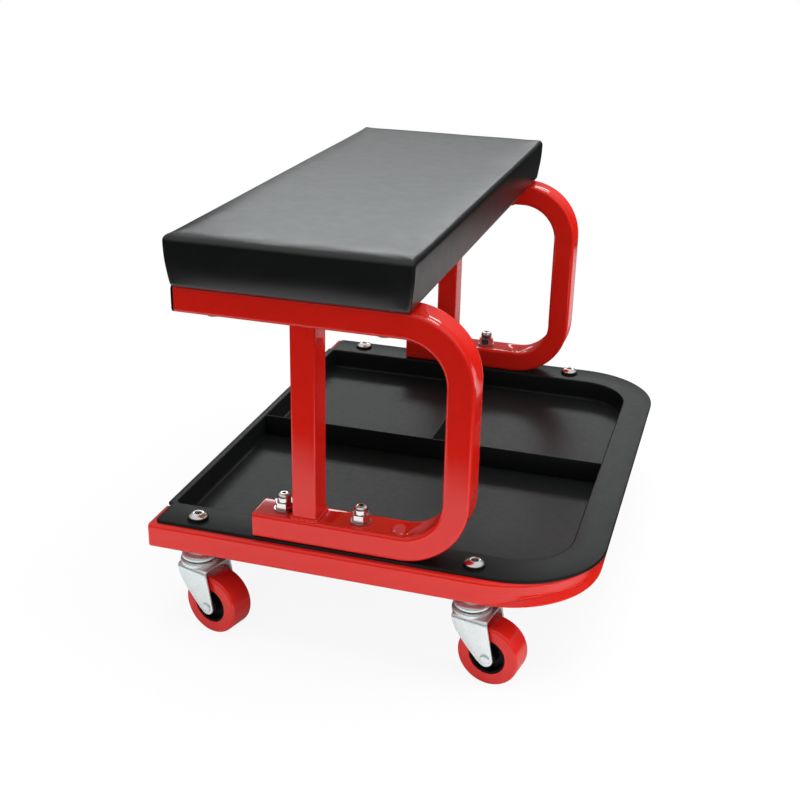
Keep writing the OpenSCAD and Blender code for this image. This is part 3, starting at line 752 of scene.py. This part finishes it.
def fork_stations(trail, axle_z):
    """Stations of the pressed fork: up one leg, over the crown, down the other.

    Each is (left edge, right edge, point, outward normal), the edges measured along X.
    """
    crown_z, mid_y, bend = 57 * MM, 15 * MM, 3.2 * MM
    lug, crown_x, crown_r = 6.4 * MM, 18.5 * MM, 15.5 * MM
    leg_x, leg_bottom = -11.2 * MM, axle_z - lug + 0.15 * MM
    leg_top, crown_edge = crown_z - bend, mid_y - bend
    table_z = np.array([19.0, 19.6, 20.6, 22.5, 26.0, 31.0, 37.0, 43.0, 49.0, 56.0, 58.0]) * MM
    table_x = np.array([18.9, 16.2, 14.6, 12.3, 8.9, 4.3, -0.9, -5.2, -8.6, -11.0, -11.2]) * MM

    def limits_leg(z):
        left = float(np.interp(z, table_z, table_x))
        right = float(np.interp(z, [axle_z, 58 * MM], [trail + lug, crown_x]))
        drop = axle_z - z
        if drop > 0:
            reach = math.sqrt(max(0.0, lug * lug - drop * drop))
            right = trail + reach
            left = max(left, trail - reach) if drop > lug * 0.55 else left
        return left, max(right, left + 0.4 * MM)

    def limits_crown(y):
        left = -math.sqrt(max(0.0, crown_r * crown_r - y * y))
        if abs(y) > 10 * MM:
            left = min(left, leg_x * smooth_step(abs(y), 0.0, 11 * MM))
        return left, crown_x

    leg = []
    lug_z, plain_z = np.linspace(leg_bottom, axle_z, 12), np.linspace(axle_z, leg_top, 16)
    for z in np.concatenate([lug_z, plain_z[1:]]):
        leg.append((*limits_leg(z), Vector((0, mid_y, z)), Vector((0, 1, 0))))
    for a in quarter(8)[1:-1]:
        y, z = crown_edge + bend * math.cos(a), leg_top + bend * math.sin(a)
        leg.append((*limits_leg(z), Vector((0, y, z)), Vector((0, math.cos(a), math.sin(a)))))
    crown = []
    for y in np.linspace(crown_edge, -crown_edge, 22):
        crown.append((*limits_crown(y), Vector((0, y, crown_z)), Vector((0, 0, 1))))
    other = [(left, right, Vector((0, -p.y, p.z)), Vector((0, -n.y, n.z))) for left, right, p, n in leg[::-1]]
    return leg + crown + other


def fork_piece(corner, matrix, trail, axle_z):
    rings = []
    for left, right, point, normal in fork_stations(trail, axle_z):
        w = right - left
        loop = rounded_section(w, 2 * MM, min(0.55 * MM, w * 0.4), corner=3, side=3)
        centre_x = (left + right) / 2
        rings.append([matrix @ (Vector((centre_x + u, 0, 0)) + point + normal * v) for u, v in loop])
    verts, faces = bridge_rings(rings)
    obj = mesh_object(corner + "_fork_pressing", verts, faces)
    place(obj, corner + "_swivel", ZINC, [corner + "_fork"])
    race = [(6.06, 56.4), (6.06, 60.4), (7.4, 60.5), (7.9, 59.6), (11.0, 59.6), (11.6, 60.5), (14.5, 60.7),
            (15.2, 60.5), (15.7, 60.0), (15.9, 59.2), (15.95, 57.0), (15.6, 56.4)]
    place(lathe(corner + "_lower_race", race, matrix, 72), corner + "_swivel", ZINC)


def head_piece(corner, matrix):
    """Fixed upper race, under the rail."""
    profile = [(6.0, 72.0), (9.6, 72.0), (9.6, 67.4), (10.2, 66.6), (12.2, 66.1), (13.7, 65.3), (14.4, 64.4),
               (14.6, 63.4), (14.5, 62.2), (13.9, 61.6), (12.6, 61.5), (12.2, 62.3), (8.0, 62.3), (7.4, 61.5),
               (6.0, 61.5)]
    return place(lathe(corner + "_upper_race", profile, matrix, 72), "frame", ZINC)


def wheel_pieces(corner, matrix, trail, axle_z):
    """Tyre, hub and axle rivet, turned about the axle."""
    on_axle = matrix @ Matrix.Translation((trail, 0, axle_z)) @ Matrix.Rotation(math.radians(90), 4, "X")
    tyre_r, hub_r, half, shoulder = 25.4, 15.2, 11.75, 2.6
    side = [(hub_r, half), (16.6, half - 0.05), (18.5, half - 0.1), (20.6, half - 0.15)]
    for a in quarter(8):
        rise, drop = shoulder * math.sin(a), shoulder * (1 - math.cos(a))
        side.append((tyre_r - shoulder + rise, half - 0.15 - drop))
    side += [(tyre_r, 4.0), (tyre_r, 0.0)]
    tyre = lathe(corner + "_tread", mirrored(side), on_axle, 128)
    place(tyre, corner + "_wheel", TYRE, [corner + "_tyre"])
    half_hub = [(4.26, 13.0), (6.4, 13.0), (7.0, 12.5), (7.2, 5.4), (8.0, 4.6), (12.2, 4.5), (13.0, 5.3),
                (13.3, 10.4), (13.7, 11.0), (14.4, 11.15), (15.0, 10.9), (hub_r, 10.4), (hub_r, 0.0)]
    hub = lathe(corner + "_wheel_centre", mirrored(half_hub), on_axle)
    place(hub, corner + "_wheel", PLASTIC, [corner + "_hub"])
    end = [(0.0, 17.5), (2.6, 17.5), (3.7, 17.3), (4.2, 16.9), (4.3, 16.4), (4.3, 16.0), (3.0, 16.0),
           (3.0, 0.0)]
    rivet = lathe(corner + "_axle_rivet", mirrored(end), on_axle, 48)
    place(rivet, corner + "_swivel", ZINC, [corner + "_axle"])


def bolt_heads():
    """Low round heads with a deep socket, on their black washers."""
    washer_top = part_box("caster_bolt_washers")[1].z
    profile = [(0.0, -1.0), (7.9, -1.0), (8.2, -0.4), (8.2, 0.1), (7.9, 0.7), (7.0, 1.5), (5.7, 2.3),
               (4.9, 2.75), (4.2, 3.0), (3.4, 3.0), (2.75, 2.7), (2.6, 2.2), (2.5, 0.2), (0.0, 0.0)]
    for corner in CORNERS:
        swivel = joint(corner + "_swivel_turn")["pos_m"]
        on_washer = Matrix.Translation((swivel[0], swivel[1], washer_top))
        place(lathe(corner + "_bolt_head", profile, on_washer, 48), "frame", BOLT)
    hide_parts("caster_bolts")


bolt_heads()
for corner in CORNERS:
    matrix, trail, axle_z = caster_frame(corner)
    fork_piece(corner, matrix, trail, axle_z)
    head_piece(corner, matrix)
    wheel_pieces(corner, matrix, trail, axle_z)
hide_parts("caster_heads")


# ---------------------------------------------------------------- seat
PAD_EDGE, PAD_CORNER, PAD_FOOT = 5 * MM, 3.5 * MM, 2.6 * MM  # radii: upper edge, corners in plan, lower edge
PAD_TUCK = (3.2 * MM, 3.6 * MM)  # how far the sides pull in at the foot
HEM_W, HEM_T = 11 * MM, 2.4 * MM  # band of vinyl turned under the board
PAD_TOP = 0.8 * MM  # the top starts this far below the CAD box, and ends as far above it
SWELL_FRAMES, SWELL_CAP = 20, 0.9 * MM


def ticks(low, high, near, step):
    """Grid positions from low to high, fine close to both ends."""
    a, b = low + near[-1], high - near[-1]
    n = max(1, round((b - a) / step))
    middle = [a + (b - a) * k / n for k in range(1, n)]
    return [low + d for d in near] + middle + [high - d for d in near[::-1]]


def round_over(e, depth, radius, on_face):
    """How far a point near a block's edge moves in from the side, and how deep it then lies under the face.

    e is the distance from the side of a point on the face, depth that from the face of a point on the side.
    Points on the face take the first half of the quarter circle, and points on the side the other half.
    """
    near = min(e, radius)
    share = 45 * (1 - near / radius) if on_face else 45 + 45 * depth / radius
    phi = math.radians(share)
    return radius * (1 - math.sin(phi)) - (near if on_face else 0), radius * (1 - math.cos(phi))


def pad_point(x, y, z, half):
    """Moves a point of a plain block's surface onto the rounded, tucked-in pad. The block stands on z = 0."""
    hx, hy, top = half
    e = min(hx - abs(x), hy - abs(y))
    face_top, face_bottom = z >= top - 1e-9, z <= 1e-9
    inset, height = 0.0, z
    if face_top or z > top - PAD_EDGE:
        inset, drop = round_over(e, top - z, PAD_EDGE, face_top)
        height = top - drop
    elif face_bottom or z < PAD_FOOT:
        inset, height = round_over(e, z, PAD_FOOT, face_bottom)
    px, py = abs(x), abs(y)
    dx, dy = px - (hx - PAD_CORNER), py - (hy - PAD_CORNER)
    if dx > 0 and dy > 0:
        reach, norm = max(dx, dy), math.hypot(dx, dy)
        out = Vector((dx / norm, dy / norm))
        px, py = hx - PAD_CORNER + dx * reach / norm, hy - PAD_CORNER + dy * reach / norm
    else:
        out = Vector((1, 0)) if hx - px < hy - py else Vector((0, 1))
    px, py = px - out.x * inset, py - out.y * inset
    wall = top - PAD_EDGE
    t = max(0.0, min(1.0, (wall - height) / wall)) ** 2.4
    px *= 1 - PAD_TUCK[0] * t / hx
    py *= 1 - PAD_TUCK[1] * t / hy
    return Vector((math.copysign(px, x), math.copysign(py, y), height))


def seat_start():
    """Pad before it swells: flat top, rounded upper edge, sides that pull in to the board, a turned hem."""
    low, high = seat_lo, seat_hi
    mid = (low + high) / 2
    margin, step = 0.5 * MM, 11 * MM
    half = ((high.x - low.x) / 2 - margin, (high.y - low.y) / 2 - margin, high.z - low.z - PAD_TOP)
    near = [d * MM for d in (0, 1.2, 2.4, 3.6, 5.5, 9, 14, 19)]
    xs = ticks(-half[0], half[0], near, step)
    ys = ticks(-half[1], half[1], near, step)
    zs = [0.0, PAD_FOOT / 2, PAD_FOOT]
    zs += [PAD_FOOT + (half[2] - PAD_EDGE - PAD_FOOT) * k / 4 for k in range(1, 5)]
    zs += [half[2] - d for d in near[3::-1]]
    nx, ny, nz = len(xs) - 1, len(ys) - 1, len(zs) - 1
    index, verts, faces = {}, [], []

    def at(i, j, k):
        if (i, j, k) not in index:
            p = pad_point(xs[i], ys[j], zs[k], half)
            if k == 0:
                e = min(half[0] - abs(xs[i]), half[1] - abs(ys[j]))
                p.z += HEM_T * smooth_step(e, HEM_W - 1 * MM, HEM_W + 1 * MM)
            index[(i, j, k)] = len(verts)
            verts.append(Vector((mid.x + p.x, mid.y + p.y, low.z + p.z)))
        return index[(i, j, k)]

    for i in range(nx):
        for j in range(ny):
            faces.append((at(i, j, nz), at(i + 1, j, nz), at(i + 1, j + 1, nz), at(i, j + 1, nz)))
            faces.append((at(i, j, 0), at(i, j + 1, 0), at(i + 1, j + 1, 0), at(i + 1, j, 0)))
    for k in range(nz):
        for i in range(nx):
            faces.append((at(i, 0, k), at(i + 1, 0, k), at(i + 1, 0, k + 1), at(i, 0, k + 1)))
            faces.append((at(i, ny, k), at(i, ny, k + 1), at(i + 1, ny, k + 1), at(i + 1, ny, k)))
        for j in range(ny):
            faces.append((at(0, j, k), at(0, j, k + 1), at(0, j + 1, k + 1), at(0, j + 1, k)))
            faces.append((at(nx, j, k), at(nx, j + 1, k), at(nx, j + 1, k + 1), at(nx, j, k + 1)))
    return mesh_object("seat_vinyl", verts, faces)


def move_points(obj, places):
    obj.data.vertices.foreach_set("co", places.astype(np.float32).ravel())
    obj.data.update()


def inflate(obj, frames, cap, pinned):
    """Cloth swelling: pressure inside, gravity off, each point's travel capped, then kept.

    pinned gives the share, 0 to 1, by which a point is held.
    """
    scene = bpy.context.scene
    bpy.context.view_layer.objects.active = obj
    start = np.array([v.co for v in obj.data.vertices])
    group = obj.vertex_groups.new(name="held")
    for v in obj.data.vertices:
        weight = pinned(v.co)
        if weight > 0:
            group.add([v.index], weight, "REPLACE")
    cloth = obj.modifiers.new("swell", "CLOTH")
    s = cloth.settings
    s.use_pressure = True
    s.uniform_pressure_force = 4
    s.quality = 5
    s.mass = 0.3
    s.tension_stiffness = 30
    s.compression_stiffness = 30
    s.shear_stiffness = 20
    s.bending_stiffness = 6
    s.vertex_group_mass = "held"
    s.effector_weights.gravity = 0
    cloth.point_cache.frame_start = 1
    cloth.point_cache.frame_end = frames
    scene.frame_start, scene.frame_end = 1, frames
    for f in range(1, frames + 1):
        scene.frame_set(f)
    swollen = obj.evaluated_get(bpy.context.evaluated_depsgraph_get())
    end = np.array([v.co for v in swollen.data.vertices])
    obj.modifiers.remove(cloth)
    scene.frame_set(1)
    travel = end - start
    length = np.linalg.norm(travel, axis=1, keepdims=True)
    limit = cap * np.tanh(length / cap) / np.maximum(length, 1e-9)
    move_points(obj, start + travel * limit)


def seat_piece():
    obj = seat_start()
    hold_z = seat_lo.z + 4 * MM
    inflate(obj, SWELL_FRAMES, SWELL_CAP, lambda p: 1.0 - smooth_step(p.z, hold_z, hold_z + 6 * MM))
    co = np.array([v.co for v in obj.data.vertices])
    above = np.clip((co[:, 2] - seat_lo.z) / (seat_hi.z - seat_lo.z), 0, 1)[:, None]
    lo, hi = co.min(0), co.max(0)
    goal_lo, goal_hi = np.array(seat_lo), np.array(seat_hi) + np.array([0, 0, PAD_TOP])
    fitted = goal_lo + (co - lo) * (goal_hi - goal_lo) / (hi - lo)
    move_points(obj, co + (fitted - co) * above ** 0.5)
    sub = obj.modifiers.new("smooth", "SUBSURF")
    sub.levels = sub.render_levels = 1
    bpy.context.view_layer.objects.active = obj
    bpy.ops.object.modifier_apply(modifier="smooth")
    obj.data.polygons.foreach_set("use_smooth", [True] * len(obj.data.polygons))
    return place(obj, "frame", VINYL, ["seat_cover", "seat_foam"])


seat_piece()


# ---------------------------------------------------------------- studio
def ray_switch(tree, kind, normal, special):
    """Shader that differs for one kind of ray."""
    path = node(tree, "ShaderNodeLightPath")
    mix = tree.nodes.new("ShaderNodeMixShader")
    tree.links.new(path.outputs[kind], mix.inputs[0])
    tree.links.new(normal, mix.inputs[1])
    tree.links.new(special, mix.inputs[2])
    return mix.outputs[0]


def floor_spot(tree, position, x, y, reach_x, reach_y):
    """1 at the point (x, y) of the floor, falling to 0 at the reach."""
    place_map = node(tree, "ShaderNodeMapping", vector_type="TEXTURE")
    place_map.inputs["Location"].default_value = (x, y, 0)
    place_map.inputs["Scale"].default_value = (reach_x, reach_y, 1)
    round_map = node(tree, "ShaderNodeTexGradient", gradient_type="SPHERICAL")
    tree.links.new(position, place_map.inputs["Vector"])
    tree.links.new(place_map.outputs[0], round_map.inputs["Vector"])
    return round_map.outputs[1]


def floor_material():
    """Paper floor: it fades to white for the camera, and mirrors as dark with two bright patches."""
    mat = bpy.data.materials.new("paper_floor")
    mat.use_nodes = True
    tree = mat.node_tree
    tree.nodes.clear()
    link = tree.links.new
    out = node(tree, "ShaderNodeOutputMaterial")
    paper = node(tree, "ShaderNodeBsdfDiffuse", Roughness=0.5)
    noise = node(tree, "ShaderNodeTexNoise", Scale=3.0, Detail=3.0)
    link(ramp(tree, noise.outputs[0], [(0.3, grey(0.90)), (0.7, grey(0.92))]), paper.inputs["Color"])
    reflected = node(tree, "ShaderNodeBsdfDiffuse")
    position = node(tree, "ShaderNodeNewGeometry").outputs["Position"]
    front = ramp(tree, floor_spot(tree, position, -0.05, -0.34, 0.70, 0.28),
                 [(0.0, grey(0.02)), (0.4, grey(0.95))])
    side = ramp(tree, floor_spot(tree, position, 0.27, 0.75, 0.40, 0.40),
                [(0.0, grey(0.0)), (0.5, grey(0.45))])
    both = node(tree, "ShaderNodeVectorMath", operation="ADD")
    link(front, both.inputs[0])
    link(side, both.inputs[1])
    link(both.outputs[0], reflected.inputs["Color"])
    glow = node(tree, "ShaderNodeEmission", Strength=1.0)
    fade = tree.nodes.new("ShaderNodeMixShader")
    link(ramp(tree, floor_spot(tree, position, 0, 0, 0.74, 0.74), [(0.12, grey(1.0)), (0.6, grey(0.90))]),
         fade.inputs[0])
    link(paper.outputs[0], fade.inputs[1])
    link(glow.outputs[0], fade.inputs[2])
    unseen = ray_switch(tree, "Is Diffuse Ray", reflected.outputs[0], paper.outputs[0])
    link(ray_switch(tree, "Is Camera Ray", unseen, fade.outputs[0]), out.inputs[0])
    return mat


def studio_floor():
    data = bpy.data.meshes.new("studio_floor")
    reach = 30.0
    data.from_pydata([(-reach, -reach, 0), (reach, -reach, 0), (reach, reach, 0), (-reach, reach, 0)], [],
                     [(0, 1, 2, 3)])
    floor = bpy.data.objects.new("studio_floor", data)
    floor.data.materials.append(floor_material())
    bpy.context.scene.collection.objects.link(floor)


def studio_world():
    """White for the camera, even for diffuse light, and brighter towards the top in mirrors."""
    world = bpy.data.worlds.new("studio")
    bpy.context.scene.world = world
    world.use_nodes = True
    tree = world.node_tree
    tree.nodes.clear()
    out = node(tree, "ShaderNodeOutputWorld")
    white = node(tree, "ShaderNodeBackground", Color=(1, 1, 1, 1), Strength=1.0)
    fill = node(tree, "ShaderNodeBackground", Color=(1, 1, 1, 1), Strength=0.42)
    sheen = node(tree, "ShaderNodeBackground", Color=(1, 1, 1, 1))
    coords = node(tree, "ShaderNodeTexCoord")
    split = node(tree, "ShaderNodeSeparateXYZ")
    tree.links.new(coords.outputs["Generated"], split.inputs[0])
    rise = node(tree, "ShaderNodeMapRange")
    rise.inputs["From Min"].default_value = 0.10
    rise.inputs["From Max"].default_value = 0.75
    rise.inputs["To Min"].default_value = 0.06
    rise.inputs["To Max"].default_value = 0.75
    tree.links.new(split.outputs["Z"], rise.inputs["Value"])
    tree.links.new(rise.outputs[0], sheen.inputs["Strength"])
    lit = ray_switch(tree, "Is Glossy Ray", fill.outputs[0], sheen.outputs[0])
    tree.links.new(ray_switch(tree, "Is Camera Ray", lit, white.outputs[0]), out.inputs[0])


def softbox(name, location, target, w, h, power, in_mirrors=True, spread=180, colour=(1, 1, 1)):
    """Rectangular light, never seen by the camera, and in reflections only if in_mirrors is true."""
    light = bpy.data.lights.new(name, "AREA")
    light.shape = "RECTANGLE"
    light.size, light.size_y = w, h
    light.energy = power
    light.color = colour
    light.spread = math.radians(spread)
    obj = bpy.data.objects.new(name, light)
    obj.location = location
    obj.visible_glossy = in_mirrors
    obj.visible_camera = False
    obj.rotation_mode = "QUATERNION"
    obj.rotation_quaternion = (Vector(target) - Vector(location)).to_track_quat("-Z", "Y")
    bpy.context.scene.collection.objects.link(obj)


def camera():
    cam = bpy.data.cameras.new("photo_camera")
    cam.sensor_width = 36
    cam.lens = 55.13
    cam.clip_start, cam.clip_end = 0.01, 100
    obj = bpy.data.objects.new("photo_camera", cam)
    bpy.context.scene.collection.objects.link(obj)
    stand = Vector((0.26215, -1.0112, 0.5756))
    azimuth, elevation, roll = math.radians(16.53), math.radians(22.88), math.radians(1.24)
    level = math.cos(elevation)
    forward = Vector((-math.sin(azimuth) * level, math.cos(azimuth) * level, -math.sin(elevation)))
    right = forward.cross(Vector((0, 0, 1))).normalized()
    up = right.cross(forward)
    x = right * math.cos(roll) + up * math.sin(roll)
    y = up * math.cos(roll) - right * math.sin(roll)
    obj.matrix_world = Matrix((
        (x.x, y.x, -forward.x, stand.x), (x.y, y.y, -forward.y, stand.y),
        (x.z, y.z, -forward.z, stand.z), (0, 0, 0, 1)))
    bpy.context.scene.camera = obj


bpy.context.scene.view_settings.view_transform = "Standard"
studio_floor()
studio_world()
softbox("overhead", (0.2, 0.1, 2.2), (0, 0, 0.2), 1.8, 1.8, 40, in_mirrors=False)
softbox("back_sheen", (-0.45, 2.2, 1.24), (0, 0, 0.3), 1.7, 0.30, 8, colour=(0.96, 1.0, 1.01))
softbox("front_fill", (-0.3, -2.6, 1.3), (0, 0, 0.1), 1.8, 1.0, 5, in_mirrors=False)
softbox("low_fill", (0.1, -1.1, 0.10), (0, 0, 0.05), 1.4, 0.12, 0.35, in_mirrors=False, spread=26)
softbox("side_fill", (2.0, 0.3, 0.7), (0, 0, 0.1), 1.0, 0.8, 24, in_mirrors=False)
camera()
